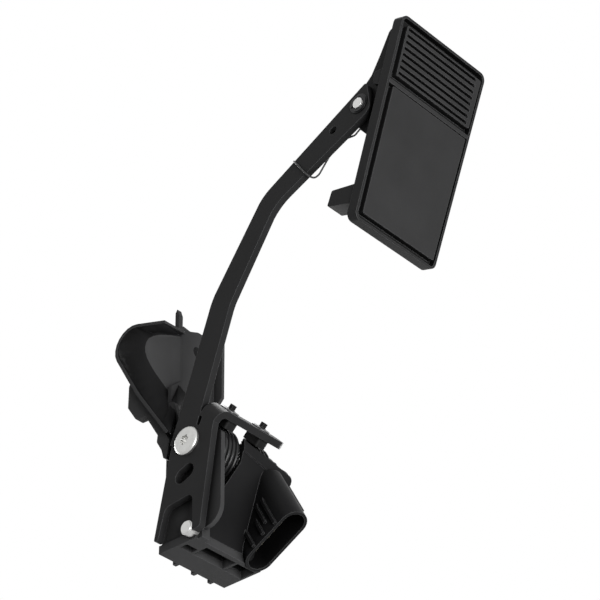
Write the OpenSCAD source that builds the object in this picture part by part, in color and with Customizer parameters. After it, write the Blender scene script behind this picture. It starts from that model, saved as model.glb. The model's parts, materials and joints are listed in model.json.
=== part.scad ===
// Accelerator pedal with a position sensor.
// A bent steel arm swings on a pivot shaft in a moulded bracket. Two torsion springs return it,
// a magnet on the shaft's end turns in front of a sensor board, and the pad tilts on the arm's tip.
// Shapes are drawn from the pivot axis (+X along the axle, -Y to the driver, +Z up the bracket) and then
// moved as one, so that the origin is the centre of the mounting hole on the bracket's seat face.

/* [Arm] */
// Thickness of the arm's plate
arm_t = 3.8; // [3.2:0.1:4.2]
// Width of the arm where it leaves the pivot
arm_w = 15; // [13:0.5:16]
// Width of the arm at its second bend
arm_neck_w = 12.8; // [11:0.2:15]
// Width of the arm at the pad's end
arm_tip_w = 17; // [16:0.5:19]
// Lean of the lower stretch of the arm from upright, in degrees
arm_lean = 22; // [20:0.5:24]
// Lean of the middle stretch
arm_mid_lean = 36; // [33:0.5:39]
// Lean of the upper stretch
arm_top_lean = 60.5; // [58:0.5:63]
// Distance of the first bend above the pivot
arm_bend_1 = 71; // [65:1:78]
// Length of the middle stretch
arm_mid_len = 61; // [56:1:66]
// Length of the upper stretch up to the pad's pin
arm_top_len = 66.5; // [63:0.5:72]
// Length of the arm past the pad's pin
arm_end = 8; // [7:0.5:9]
// Length of the fork that straddles the stop pin, below the pivot
fork_len = 52; // [50:1:56]
// Diameter of the small hole near the arm's tip
tip_hole_d = 4.6; // [3:0.1:6]

/* [Spring flange] */
// Distance of the flange's inner face from the pivot axis
flange_r = 20; // [19.6:0.1:22]
// Reach of the flange along the axle
flange_len = 48.5; // [44:0.5:50]
// Width of the flange
flange_w = 12.5; // [11:0.5:13]
// Lean of the flange round the axle, in degrees
flange_lean = 46.7; // [44:0.5:50]
// Outer radius of the flange's fold
fold_r = 6.5; // [5:0.5:8]

/* [Pivot] */
// Diameter of the pivot shaft
shaft_d = 10; // [8:0.5:11]
// Running clearance of the shaft in each bush, on the radius
shaft_gap = 0.05; // [0.02:0.01:0.1]
// Wall of a pivot bush
bush_wall = 1.5; // [1:0.1:2]
// Diameter of the pivot bolt's head
bolt_head_d = 15.5; // [13:0.5:17]
// Height of the pivot bolt's head
bolt_head_h = 2.4; // [2:0.1:3]
// Diameter of the pivot bolt's shank
bolt_d = 6; // [5:0.5:6.5]
// Thickness of the thrust washer
washer_t = 1; // [0.8:0.1:1.5]
// Diameter of the stop pin
stop_d = 7.6; // [7:0.1:8]
// Distance of the stop pin below the pivot
stop_drop = 49.2; // [48:0.2:49.4]

/* [Return springs] */
// Wire diameter of the return springs
wire_d = 2.4; // [2:0.1:2.6]
// Mean radius of the coils
coil_r = 14.2; // [13:0.1:14.3]
// Distance between neighbouring turns
coil_pitch = 2.8; // [2.7:0.05:3]

/* [Bracket] */
// General wall of the bracket
wall = 2.6; // [2:0.1:3]
// Place of the left cheek along the axle
cheek_x = 6; // [5.8:0.1:6.6]
// Distance between the two cheeks
cheek_span = 40.4; // [40:0.2:42]
// Distance of the back wall behind the pivot axis
back_y = 20; // [19.5:0.5:23]
// Height of the back wall above the pivot
back_h = 88.5; // [84:0.5:95]
// Depth of the bracket below the pivot
base_drop = 54; // [53.5:0.5:57]
// Diameter of the mounting hole
hole_d = 6.8; // [5.5:0.1:8.5]
// Height of the mounting hole above the pivot
hole_z = 75.5; // [70:0.5:77]
// Place of the mounting hole along the axle
hole_x = 27; // [25:0.5:33]
// Thickness of the boss behind the mounting hole
boss_t = 3; // [2:0.5:6]
// Depth of the side pan in front of its floor
pan_depth = 16; // [14:0.5:18]
// Wall of the side pan
pan_wall = 1.8; // [1.4:0.1:2.4]

/* [Foot] */
// Thickness of the bracket's foot
foot_t = 4.5; // [3.5:0.1:6]
// Overhang of the foot's front edge before the pivot axis
foot_reach = 2.4; // [1.5:0.1:3.5]

/* [Sensor] */
// Outer radius of the sensor housing's drum
drum_r = 17.9; // [17.5:0.1:19]
// Wall of the drum
drum_wall = 1.5; // [1.2:0.1:1.8]
// Length of the sensor chamber along the axle
chamber_len = 10.4; // [10:0.2:13]
// Tilt of the connector shroud from upright, in degrees
plug_tilt = 28; // [26:0.5:30]
// Long inner width of the connector shroud
plug_w = 37; // [34:0.5:38]
// Short inner width of the connector shroud
plug_t = 12.3; // [11:0.1:13]
// Wall of the connector shroud
plug_wall = 1.6; // [1.4:0.1:2]
// Depth of the connector shroud
plug_depth = 19; // [15:0.5:21]
// Distance of the shroud's mouth below the pivot
plug_reach = 49.5; // [48:0.5:54]
// Number of terminals
terminal_n = 6; // [4:1:6]

/* [Pad] */
// Height of the pad
pad_h = 118; // [108:1:124]
// Width of the pad at its top
pad_w = 68; // [62:1:72]
// Width of the pad at its bottom
pad_low_w = 62.5; // [58:0.5:66]
// Height of the pad above its pin
pad_above = 50; // [46:1:54]
// Lean of the pad at rest, in degrees
pad_lean = 18; // [16:0.5:20]
// Distance from the pin to the pad's front rim
pad_front = 17.4; // [17:0.1:19]
// Thickness of the pad with its rim
pad_t = 6; // [5:0.1:6.4]
// Wall of the pad's rim
rim_w = 1.4; // [1.2:0.1:2.2]
// Number of grooves across the tread
groove_n = 8; // [5:1:9]
// Diameter of the pad's pin
pin_d = 6; // [5:0.1:6.5]
// Diameter of the pad spring's wire
pad_wire_d = 1; // [0.8:0.1:1.2]

/* [Hidden] */
$fn = 48;

// Clearances: between moving pieces, and between pieces that only face each other
free = 0.4;
snug = 0.05;
eps = 0.01;

// Pivot shaft, bushes and the cheeks that carry them
shaft_r = shaft_d / 2;
bush_in = shaft_r + shaft_gap;
bush_out = bush_in + bush_wall;
bush_rim = bush_out + 2.5;
right_cheek_x = cheek_x + wall + cheek_span;
chamber_x = right_cheek_x + wall;
cover_x = chamber_x + chamber_len;
boss_r = bush_out + 6.5;

// Mounting hole and the seat face behind it
plate_y = back_y + wall;
seat_y = plate_y + boss_t;
plate_left = 15;
wall_left = cheek_x + 2;
foot_top = -base_drop + foot_t;
foot_front = -foot_reach;
foot_left = arm_t + 0.6;
plate_right = 2 * hole_x - plate_left + 2.2;

// Stop pin and the fork round it
stop_r = stop_d / 2;
fork_y = -stop_r - free;
rear_leg_y = 19.3;
pin_seat = 5.4;

// Spring wire
coil_out = coil_r + wire_d / 2;
shoe_z = coil_out + snug;
shoe_len = 7;
shoe_x = [cheek_x + wall + free + shoe_len / 2, 35.5];
stem_d = 4.6;
spring_turns = 3;
leg_reach = 6.5;
seat_leg_z = 24;

// Connector and sensor chamber
plug_x = right_cheek_x - 4;
plug_y = 4.8;
plug_root = drum_r - drum_wall;
leg_w = 27;
leg_z = 27.8;
board_t = 1.5;
board_x = cover_x - board_t - 0.5;
gasket_t = 0.6;
chamber_wall = 2.4;
chamber_r = 11.2;
screw_angles = [85, 25, 325];
screw_r = chamber_r + 2.2;
lug_r = 3.4;
screw_d = 3;
rotor_x = chamber_x + 2.4;
magnet_t = 2;
rotor_len = 5;
room_r = 8.8;
rotor_r = room_r - 0.8;
magnet_in = rotor_r - 3.2;
magnet_out = rotor_r - 1;
tip_side = 6;

// Pad
pin_r = pin_d / 2;
tray_t = 1.6;
pad_back = -pad_front + pad_t;
lug_x = arm_t + free;
lug_t = 5;

// Centre line of the arm, from the pivot to the pad's pin
arm_root = [5.2, 0];
arm_knee = arm_root + [-arm_bend_1 * tan(arm_lean), arm_bend_1];
arm_neck = arm_knee + arm_mid_len * leaned(arm_mid_lean);
pad_pivot = arm_neck + arm_top_len * leaned(arm_top_lean);

// Direction that leans so many degrees from upright to the driver, and the one square to it
function leaned(a) = [-sin(a), cos(a)];
function square_to(a) = [cos(a), sin(a)];
function unit(v) = v / norm(v);
function turned(v, a) = [v.x * cos(a) - v.y * sin(a), v.x * sin(a) + v.y * cos(a)];
// A place in the flange's frame, as a place in the side view
function at_flange(y, z) = turned([y, z], flange_lean);

// Arc that rounds the corner p between the corners a and b
function rounded_corner(p, a, b, r, steps) =
    r <= 0 ? [p] :
    let (da = unit(a - p), db = unit(b - p), half = acos(da * db) / 2,
        mid = p + unit(da + db) * r / sin(half),
        start = p + da * r / tan(half) - mid,
        side = da.x * db.y - da.y * db.x < 0 ? 1 : -1)
    [for (k = [0 : steps]) mid + turned(start, side * (180 - 2 * half) * k / steps)];

// Outline through corners given as [y, z, radius]
function rounded(c, steps = 5) = [
    for (i = [0 : len(c) - 1])
        let (n = len(c), before = c[(i + n - 1) % n], after = c[(i + 1) % n])
        each rounded_corner([c[i].x, c[i].y], [before.x, before.y], [after.x, after.y], c[i].z, steps)];

// The same corners moved in by w on every side
function inset(c, w) = [
    for (i = [0 : len(c) - 1])
        let (n = len(c), p = [c[i].x, c[i].y],
            da = unit([c[(i + n - 1) % n].x, c[(i + n - 1) % n].y] - p),
            db = unit([c[(i + 1) % n].x, c[(i + 1) % n].y] - p),
            q = p + unit(da + db) * w / sin(acos(da * db) / 2))
        [q.x, q.y, max(c[i].z - w, 0.4)]];

// Moves what is drawn from the pivot axis to the part's origin at the mounting hole
module from_pivot() {
    translate([-hole_x, -seat_y, -hole_z]) children();
}

// A side profile, drawn as [y, z], carried from x0 to x1 along the axle
module along(x0, x1) {
    translate([x0, 0, 0]) rotate([90, 0, 90]) linear_extrude(x1 - x0) children();
}

// A round bar along the axle
module rod(x0, x1, r) {
    translate([x0, 0, 0]) rotate([0, 90, 0]) cylinder(h = x1 - x0, r = r);
}

// Walls between two outlines of as many points, at x0 and at x1
module loft(x0, a, x1, b) {
    n = len(a);
    polyhedron(
        points = concat([for (p = a) [x0, p.x, p.y]], [for (p = b) [x1, p.x, p.y]]),
        faces = concat([[for (i = [0 : n - 1]) i]], [[for (i = [n - 1 : -1 : 0]) n + i]],
            [for (i = [0 : n - 1]) let (j = (i + 1) % n) [j, i, n + i, n + j]]),
        convexity = 4);
}

// A wire of diameter d through the points of a path, whose rings are laid out from the direction up
module wire(path, d, up, sides = 8) {
    n = len(path);
    points = [
        for (i = [0 : n - 1])
            let (t = unit(path[min(i + 1, n - 1)] - path[max(i - 1, 0)]),
                u = unit(up - (up * t) * t), v = cross(t, u))
            for (k = [0 : sides - 1])
                path[i] + (u * cos(360 * k / sides) + v * sin(360 * k / sides)) * d / 2];
    faces = concat(
        [[for (k = [0 : sides - 1]) k]],
        [[for (k = [sides - 1 : -1 : 0]) (n - 1) * sides + k]],
        [for (i = [0 : n - 2], k = [0 : sides - 1])
            let (m = (k + 1) % sides)
            each [[i * sides + k, (i + 1) * sides + m, i * sides + m],
                [i * sides + k, (i + 1) * sides + k, (i + 1) * sides + m]]]);
    polyhedron(points = points, faces = faces, convexity = 10);
}

// The arm in the side view, from the pivot to its slanted end behind the pad
tip_up = 7.5;
function arm_outline() = let (
    knee_lean = (arm_lean + arm_mid_lean) / 2, neck_lean = (arm_mid_lean + arm_top_lean) / 2,
    tip_low = arm_tip_w - tip_up, neck_half = arm_neck_w / 2, half = arm_w / 2,
    foot_rear = arm_root + half * square_to(arm_lean), foot_front = arm_root - half * square_to(arm_lean),
    knee_rear = arm_knee + half * square_to(knee_lean), knee_front = arm_knee - half * square_to(knee_lean),
    neck_rear = arm_neck + neck_half * square_to(neck_lean),
    neck_front = arm_neck - neck_half * square_to(neck_lean),
    end = pad_pivot + arm_end * leaned(arm_top_lean),
    end_top = end + tip_up * square_to(arm_top_lean) + 2.6 * leaned(arm_top_lean),
    end_low = end - tip_low * square_to(arm_top_lean) - 5 * leaned(arm_top_lean))
    rounded([
        [foot_rear.x, foot_rear.y, 0], [knee_rear.x, knee_rear.y, 40], [neck_rear.x, neck_rear.y, 26],
        [end_top.x, end_top.y, 1.5], [end_low.x, end_low.y, 6],
        [neck_front.x, neck_front.y, 30], [knee_front.x, knee_front.y, 30],
        [foot_front.x, foot_front.y, 0]]);

// The web between the arm, the flange and the fork
flange_front = -8.8;
flange_rear = flange_front + flange_w;
fold_start = flange_r + arm_t - fold_r;
fold_foot = 3;
function web_outline() = let (
    front = at_flange(flange_front + 0.4, fold_start - 0.6), rear = at_flange(flange_rear - 0.4, fold_start - 0.6))
    rounded([
        [arm_root.x + arm_w / 2 - 0.6, -3, 14], [arm_root.x + 2.6, 14, 0],
        [rear.x, rear.y, 0], [front.x, front.y, 0], [-16.9, 1, 4],
        [fork_y - 5, -fork_len + 0.3, 1.6], [fork_y - 0.3, -fork_len - 0.6, 0.6],
        [fork_y + 0.3, -31, 3.5], [14.6, -32.6, 5], [rear_leg_y, -fork_len + 2.4, 0.8],
        [rear_leg_y + 2.7, -fork_len + 2.8, 1]]);

// Slot that frees the flange from the arm, closed by a round end
module fold_slot() {
    slot_r = 1.2;
    low = arm_root + 12 * leaned(arm_lean) - (arm_w / 2 + slot_r) * square_to(arm_lean);
    translate(low) circle(r = slot_r);
    translate(low) rotate(arm_lean) translate([-slot_r, 0]) square([2 * slot_r, 22]);
}

// Slanted hole below the pivot
module slanted_hole() {
    translate([1.7, -17.9]) rotate(-20) {
        square([4.8, 8], center = true);
        for (s = [-1, 1]) translate([2.4 * s, 0]) circle(r = 4);
    }
}

// Flange for the springs, folded out of the web along the axle
module folded_flange() {
    top = flange_r + arm_t;
    inner = fold_r - arm_t;
    rotate([flange_lean, 0, 0]) difference() {
        translate([0, flange_rear, 0]) rotate([90, 0, 0]) linear_extrude(flange_w) union() {
            difference() {
                translate([fold_r, top - fold_r]) circle(r = fold_r);
                translate([fold_r, top - fold_r]) circle(r = inner);
                translate([fold_r, 0]) square([fold_r + 1, top + 1]);
                translate([-1, 0]) square([3 * fold_r, fold_start]);
            }
            translate([fold_r, flange_r]) square([flange_len - fold_r, arm_t]);
            translate([0, fold_start - fold_foot]) square([arm_t, fold_foot]);
        }
        for (x = shoe_x) translate([x, 0, flange_r - 1]) cylinder(h = arm_t + 2, d = stem_d + 2 * snug);
        // Rounded far corners
        for (side = [[flange_front, 0], [flange_rear, 1]])
            translate([flange_len - 5, side[0], flange_r - 1]) mirror([0, side[1], 0])
                difference() {
                    translate([0, -1, 0]) cube([6, 6, arm_t + 2]);
                    translate([0, 5, -1]) cylinder(h = arm_t + 4, r = 5);
                }
    }
}

module pedal_arm() {
    color([0.15, 0.15, 0.15]) from_pivot() {
        along(0, arm_t) difference() {
            union() {
                polygon(arm_outline());
                polygon(web_outline());
            }
            fold_slot();
            slanted_hole();
            circle(d = bolt_d + 2 * snug);
            translate(pad_pivot) circle(r = pin_r + snug);
            translate(pad_pivot - 21.5 * leaned(arm_top_lean) + [-1.5, 2.5]) circle(d = tip_hole_d);
        }
        folded_flange();
    }
}

module pivot_shaft() {
    color("silver") from_pivot() difference() {
        union() {
            rod(arm_t, rotor_x - 1, shaft_r);
            translate([rotor_x - 1, -tip_side / 2, -tip_side / 2]) cube([5.6, tip_side, tip_side]);
        }
        rod(arm_t - 1, arm_t + 14, bolt_d / 2);
    }
}

// Six-lobed recess for the key
module key_recess(r) {
    circle(r = 0.78 * r);
    for (k = [0 : 5]) rotate(60 * k) translate([0.74 * r, 0]) circle(r = 0.26 * r);
}

module pivot_bolt() {
    color("silver") from_pivot() difference() {
        union() {
            // Pan head with a turned edge
            rotate([0, -90, 0]) rotate_extrude() polygon([
                [0, 0], [bolt_head_d / 2, 0], [bolt_head_d / 2, 0.5 * bolt_head_h],
                [bolt_head_d / 2 - 0.5, 0.8 * bolt_head_h], [bolt_head_d / 2 - 1.4, bolt_head_h], [0, bolt_head_h]]);
            rod(-eps, arm_t + 13, bolt_d / 2);
        }
        along(-bolt_head_h - 1, -bolt_head_h + 1.5) key_recess(2.9);
    }
}

module thrust_washer() {
    color("dimgray") from_pivot() difference() {
        rod(arm_t, arm_t + washer_t, bush_rim);
        rod(arm_t - 1, arm_t + washer_t + 1, shaft_r + snug);
    }
}

// Flanged bush, whose rim is on the inner side of x0
module bush(x0, rim_t, side) {
    rim_x = side < 0 ? x0 - rim_t : x0;
    difference() {
        union() {
            rod(rim_x, rim_x + rim_t, bush_rim);
            rod(x0, x0 + wall, bush_out);
        }
        rod(x0 - 5, x0 + 8, bush_in);
    }
}

left_rim_t = cheek_x - arm_t - washer_t - free;
module left_pivot_bush() {
    color("gainsboro") from_pivot() bush(cheek_x, left_rim_t, -1);
}

module right_pivot_bush() {
    color("gainsboro") from_pivot() bush(right_cheek_x, 1.2, -1);
}

module stop_pin() {
    color("silver") from_pivot() translate([0, 0, -stop_drop]) {
        rod(0.3, cheek_x + pin_seat, stop_r);
        rod(-0.3, 0.3 + eps, stop_r - 0.5);
    }
}

// Coil round the pivot axle whose top leg, at x, runs under a shoe and whose other leg rises behind
module return_spring(x) {
    top = 90 + flange_lean;
    sweep = 360 - top + 360 * spring_turns;
    steps = 22 * spring_turns + 12;
    turn_x = coil_pitch * sweep / 360;
    top_dir = [0, leaned(flange_lean).y, -leaned(flange_lean).x];
    start = [x, coil_r * cos(top), coil_r * sin(top)];
    coil = [for (i = [0 : steps]) let (a = top + sweep * i / steps)
        [x + turn_x * i / steps, coil_r * cos(a), coil_r * sin(a)]];
    last = coil[len(coil) - 1];
    path = concat([start + leg_reach * top_dir, start + 0.4 * leg_reach * top_dir], coil,
        [last + [0, 0, 0.5 * seat_leg_z], last + [0, 0, seat_leg_z]]);
    wire(path, wire_d, [1, 0, 0]);
}

module short_return_spring() {
    color("slategray") from_pivot() return_spring(shoe_x[0]);
}

module long_return_spring() {
    color("slategray") from_pivot() return_spring(shoe_x[1]);
}

// Plastic shoe under the flange, with a stem through it
module spring_shoe(x) {
    rotate([flange_lean, 0, 0]) translate([x, 0, 0]) {
        translate([0, 0, shoe_z]) linear_extrude(flange_r - shoe_z) polygon(rounded([
            [-shoe_len / 2, -7.5, 1.5], [shoe_len / 2, -7.5, 1.5],
            [shoe_len / 2, leg_reach - 1, 1.5], [-shoe_len / 2, leg_reach - 1, 1.5]], 4));
        translate([0, 0, flange_r - eps]) cylinder(h = arm_t + 1.2, d = stem_d);
        translate([-1.3, -1.3, flange_r + arm_t]) cube([2.6, 2.6, 3.6]);
    }
}

module left_spring_shoe() {
    color([0.1, 0.1, 0.1]) from_pivot() spring_shoe(shoe_x[0]);
}

module right_spring_shoe() {
    color([0.1, 0.1, 0.1]) from_pivot() spring_shoe(shoe_x[1]);
}

// Push nut that holds a shoe's stem on top of the flange
module shoe_retainer(x) {
    rotate([flange_lean, 0, 0]) translate([x, 0, flange_r + arm_t]) rotate_extrude() polygon([
        [stem_d / 2 + snug, 0], [5.4, 0], [5.4, 0.5], [4.6, 0.8], [stem_d / 2 + 1, 0.8], [stem_d / 2 + snug, 1.1]]);
}

module left_shoe_retainer() {
    color("gray") from_pivot() shoe_retainer(shoe_x[0]);
}

module right_shoe_retainer() {
    color("gray") from_pivot() shoe_retainer(shoe_x[1]);
}

// Cup on the shaft's square tip
module sensor_rotor() {
    color("ivory") from_pivot() difference() {
        rod(rotor_x, rotor_x + rotor_len, rotor_r);
        translate([rotor_x - 1, -tip_side / 2 - snug, -tip_side / 2 - snug])
            cube([rotor_len + 2, tip_side + 2 * snug, tip_side + 2 * snug]);
        difference() {
            rod(rotor_x + rotor_len - magnet_t, rotor_x + rotor_len + 1, magnet_out);
            rod(rotor_x, rotor_x + rotor_len + 1, magnet_in);
        }
    }
}

module rotor_magnet() {
    color("dimgray") from_pivot() difference() {
        rod(rotor_x + rotor_len - magnet_t, rotor_x + rotor_len, magnet_out - snug);
        rod(rotor_x, rotor_x + rotor_len + 1, magnet_in + snug);
    }
}

// Pan beside the arm: a tapered, teardrop-shaped wall that is open to the driver
pan_x = -1;
floor_x = pan_x + pan_depth;
pan_rim = [[13, 8, 1], [37, 43.3, 60], [67.4, 98.2, 12], [17, 81, 1]];
pan_floor = [[16.8, 26, 1], [30.4, 50.9, 60], [52.5, 93.7, 7.5], [17, 81.6, 1]];
function opened(c, by) = let (
    low = [c[0].x, c[0].y], bow = [c[1].x, c[1].y], nose = [c[2].x, c[2].y], high = [c[3].x, c[3].y],
    low_out = low + by * unit(low - bow), high_out = high + by * unit(high - nose))
    [[low_out.x, low_out.y, 1], c[1], c[2], [high_out.x, high_out.y, 1]];

module side_pan() {
    difference() {
        loft(pan_x, rounded(pan_rim, 8), floor_x + pan_wall, rounded(pan_floor, 8));
        loft(pan_x - eps, rounded(inset(opened(pan_rim, 16), pan_wall), 8),
            floor_x, rounded(inset(opened(pan_floor, 16), pan_wall), 8));
        along(floor_x - 1, floor_x + pan_wall + 1)
            polygon([[-5, 0], [9, 8], [26.5, 44], [back_y, 51], [-5, 51]]);
        along(floor_x - 1, floor_x + pan_wall + 1) translate([-10, 0]) square([back_y + 10, 90]);
    }
}

// Skirt behind the pan's lower edge, with the two pegs that locate the bracket
module locating_skirt() {
    along(2.2, cheek_x + 1) polygon(rounded([
        [17, -2, 0], [19, -1, 1], [20.5, 4.4, 1], [24, 10.5, 2], [23.5, 14.5, 1],
        [33, 30.3, 1], [39.6, 30.6, 2], [45.8, 40.3, 1.5], [45.6, 54, 2], [43, 56, 0], [26, 28, 0], [15, 8, 0]], 3));
}

module left_cheek() {
    along(cheek_x, cheek_x + wall) union() {
        circle(r = boss_r);
        polygon(rounded([
            [-17.6, 2.5, 2], [-17.6, -49, 10], [-8, foot_top, 3], [plate_y, foot_top, 0], [back_y + eps, -40, 0],
            [back_y + eps, 34, 0], [16, 34, 3], [9, 9, 0], [-10, 5, 0]]));
    }
}

module right_cheek() {
    along(right_cheek_x, chamber_x) union() {
        circle(r = boss_r);
        polygon(rounded([[-6, -11, 0], [11, -21, 6], [plate_y, -34, 0], [plate_y, 30, 0], [8, 10, 4]]));
        for (a = screw_angles) translate(screw_r * [cos(a), sin(a)]) circle(r = lug_r);
    }
}

module back_wall() {
    translate([0, plate_y, 0]) rotate([90, 0, 0]) linear_extrude(wall) polygon(rounded([
        [wall_left, -base_drop, 0], [chamber_x, -base_drop, 0], [chamber_x, 24, 0], [plate_right, 42, 3],
        [plate_right, back_h, 4], [27, back_h, 3], [21, back_h - 2.4, 3], [plate_left, back_h - 1.5, 1],
        [plate_left, 52, 0], [wall_left, 46, 0]]));
    // Post at the left edge, and ribs along both sides
    along(plate_left - 2.8, plate_left + 0.2) polygon([[back_y, 80], [plate_y, 80], [plate_y, back_h + 6],
        [back_y + 1.3, back_h + 8], [back_y, back_h + 4]]);
    along(plate_right - 1.8, plate_right) polygon([[back_y + 1, 44], [back_y - 6, 51],
        [back_y - 6, back_h - 3], [back_y - 2, back_h + 1], [back_y + 1, back_h + 1]]);
    // Seats that the springs' rear legs bear on
    for (x = shoe_x) translate([x + spring_run() - 2.5, coil_out, 8]) cube([5, back_y - coil_out + eps, seat_leg_z - 6]);
    // Stiffening ribs behind the wall
    for (x = [18, 31, 43]) translate([x - 1.1, plate_y - eps, -base_drop]) cube([2.2, boss_t - 0.5, base_drop + 38]);
    translate([18, plate_y - eps, -6]) cube([chamber_x - 18, boss_t - 0.8, 2.2]);
    // Boss round the mounting hole
    translate([hole_x, back_y, hole_z]) rotate([-90, 0, 0]) cylinder(h = wall + boss_t, r = hole_d / 2 + 4.6);
}

// Distance along the axle from a spring's first leg to its last
function spring_run() = coil_pitch * (270 - flange_lean + 360 * spring_turns) / 360;

// Foot of the bracket: a shell whose pockets open downward beside the front rail
module bracket_foot() {
    difference() {
        translate([foot_left, foot_front, -base_drop])
            cube([chamber_x - foot_left, plate_y - foot_front, foot_t]);
        for (p = [[6.6, 14.2, 5.4], [15.6, 36.6, 0.6], [38, 50.4, 0.6]])
            translate([p[0], p[2], -base_drop - 1]) cube([p[1] - p[0], 10 - p[2], foot_t + 2]);
        translate([0, 0, -stop_drop]) rod(foot_left - 1, cheek_x, stop_r + free);
    }
}

// Straight prism with round ends, long in y
module slot_shape(x_size, y_size) {
    square([x_size, y_size - x_size], center = true);
    for (s = [-1, 1]) translate([0, s * (y_size - x_size) / 2]) circle(d = x_size);
}

// The shroud's outside, grown by a clearance
module shroud_body(grow = 0) {
    rotate([-plug_tilt, 0, 0]) translate([plug_x, plug_y, -plug_reach - grow])
        linear_extrude(plug_reach - plug_root + 2 + grow)
            slot_shape(plug_t + 2 * plug_wall + 2 * grow, plug_w + 2 * plug_wall + 2 * grow);
}

module mounting_bracket() {
    color([0.16, 0.16, 0.17]) from_pivot() difference() {
        union() {
            side_pan();
            locating_skirt();
            left_cheek();
            right_cheek();
            back_wall();
            bracket_foot();
            translate([cheek_x, -stop_r - 1.6, -base_drop]) cube([pin_seat, 2 * stop_r + 3.2, base_drop - stop_drop + stop_r + 2]);
        }
        // Room for the arm, the bushes, the stop pin and the shroud
        rod(pan_x - 1, cheek_x, 16.2);
        rod(cheek_x - 1, cheek_x + wall + 1, bush_out);
        rod(right_cheek_x - 1, chamber_x + 1, bush_out);
        translate([0, 0, -stop_drop]) rod(cheek_x - 3, cheek_x + pin_seat + 1, stop_r);
        shroud_body(0.2);
        for (a = screw_angles) translate([0, screw_r * cos(a), screw_r * sin(a)])
            rod(right_cheek_x - 1, chamber_x + 1, screw_d / 2);
        translate([hole_x, back_y - 1, hole_z]) rotate([-90, 0, 0])
            cylinder(h = wall + boss_t + 2, r = hole_d / 2);
    }
}

// Side view of the sensor chamber and of the leg that leads down to the terminals
module chamber_shape(less = 0) {
    circle(r = chamber_r - less);
    rotate(-plug_tilt) translate([plug_y - leg_w / 2 + less, -leg_z + less])
        square([leg_w - 2 * less, leg_z - 2 * less - 4]);
}

module screw_lugs(r) {
    for (a = screw_angles) translate(screw_r * [cos(a), sin(a)]) circle(r = r);
}

// One terminal: a blade in the shroud whose tail turns along the axle to the board
blade_w = 2.3;
blade_t = 0.8;
terminal_pitch = 4.6;
blade_recess = 7;
module terminals() {
    for (i = [0 : terminal_n - 1]) rotate([-plug_tilt, 0, 0])
        translate([plug_x, plug_y + (i - (terminal_n - 1) / 2) * terminal_pitch, 0]) {
            translate([-blade_t / 2, -blade_w / 2, -plug_reach + blade_recess])
                cube([blade_t, blade_w, plug_reach - blade_recess - leg_z + 6.6]);
            translate([-blade_t / 2, -blade_w / 2, -leg_z + 5.8])
                cube([board_x - plug_x + blade_t / 2, blade_w, blade_t]);
        }
}

drum_x = 22;
drum_end = 57;
drum_top = 3.3;
drum_fall = 6.5;
band_t = 0.7;
band_w = 6.2;

// A front view, drawn as [x, z], carried through the front half of the housing
module from_front() {
    rotate([90, 0, 0]) linear_extrude(2 * drum_r) children();
}

// Curved wall in front of the springs, with a raised band along its sloping top edge
module drum_front() {
    intersection() {
        along(drum_x, drum_end) difference() {
            circle(r = drum_r);
            circle(r = drum_r - drum_wall);
        }
        from_front() polygon([[drum_x - 1, drum_top], [drum_end + 1, drum_top - drum_fall],
            [drum_end + 1, -drum_r], [drum_x - 1, -drum_r]]);
    }
    intersection() {
        along(drum_x, drum_end + 1) difference() {
            circle(r = drum_r + band_t);
            circle(r = drum_r - drum_wall);
        }
        from_front() polygon(rounded([
            [drum_x, drum_top, 0], [drum_end + 1, drum_top - drum_fall, 2.5],
            [drum_end + 1, drum_top - drum_fall - band_w, 2.5], [drum_x, drum_top - band_w, 0]]));
    }
}

// Flat wall that runs down from the drum to the bracket's foot
skirt_x = 12;
module front_skirt() {
    low = [foot_front, foot_top + snug];
    touch_a = atan2(low.y, low.x) - acos(drum_r / norm(low));
    touch = drum_r * [cos(touch_a), sin(touch_a)];
    inward = -drum_wall * unit(touch);
    intersection() {
        along(skirt_x, plug_x) polygon([touch, low, low + inward, touch + inward]);
        from_front() polygon([[drum_x, 1], [drum_x, -9], [skirt_x, -32], [skirt_x, -base_drop],
            [drum_end, -base_drop], [drum_end, 1]]);
    }
}

module sensor_housing() {
    color([0.13, 0.13, 0.13]) from_pivot() difference() {
        union() {
            along(chamber_x, cover_x) union() {
                chamber_shape();
                screw_lugs(lug_r);
            }
            drum_front();
            front_skirt();
            shroud_body();
            plug_keys();
        }
        rod(drum_x - 1, chamber_x, drum_r - drum_wall);
        // End web of the drum between the chamber and the curved wall
        difference() {
            rod(chamber_x - eps, drum_end - 1.8, drum_r - drum_wall);
            along(chamber_x - 1, drum_end) chamber_shape();
            along(chamber_x - 1, drum_end) screw_lugs(lug_r);
            shroud_body();
        }
        rod(chamber_x - 1, chamber_x + 3, shaft_r + free);
        rod(chamber_x + 1.6, board_x, room_r);
        along(board_x, cover_x + 1) chamber_shape(chamber_wall);
        terminals();
        rotate([-plug_tilt, 0, 0]) translate([plug_x, plug_y, -plug_reach - 1])
            linear_extrude(plug_depth + 1) slot_shape(plug_t, plug_w);
        for (a = screw_angles) translate([0, screw_r * cos(a), screw_r * sin(a)])
            rod(chamber_x - 1, cover_x + 1, screw_d / 2 + snug);
    }
}

// Ribs on the shroud's side that key the plug
module plug_keys() {
    side = plug_x - plug_t / 2 - plug_wall;
    for (k = [[13, -29.7, -48.5], [5.4, -36.9, -47.4], [1.2, -29.8, -42.9], [-3.1, -29.6, -48.4]])
        rotate([-plug_tilt, 0, 0]) translate([side, k[0] + 0.8, 0]) rotate([90, 0, 0])
            linear_extrude(1.6) polygon([[eps, k[1] + 2], [-1.3, k[1] - 3], [-1.3, k[2]], [eps, k[2]]]);
}

module connector_terminals() {
    color("gold") from_pivot() terminals();
}

module circuit_board() {
    color("darkgreen") from_pivot() along(board_x, board_x + board_t) chamber_shape(chamber_wall + 0.1);
}

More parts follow.
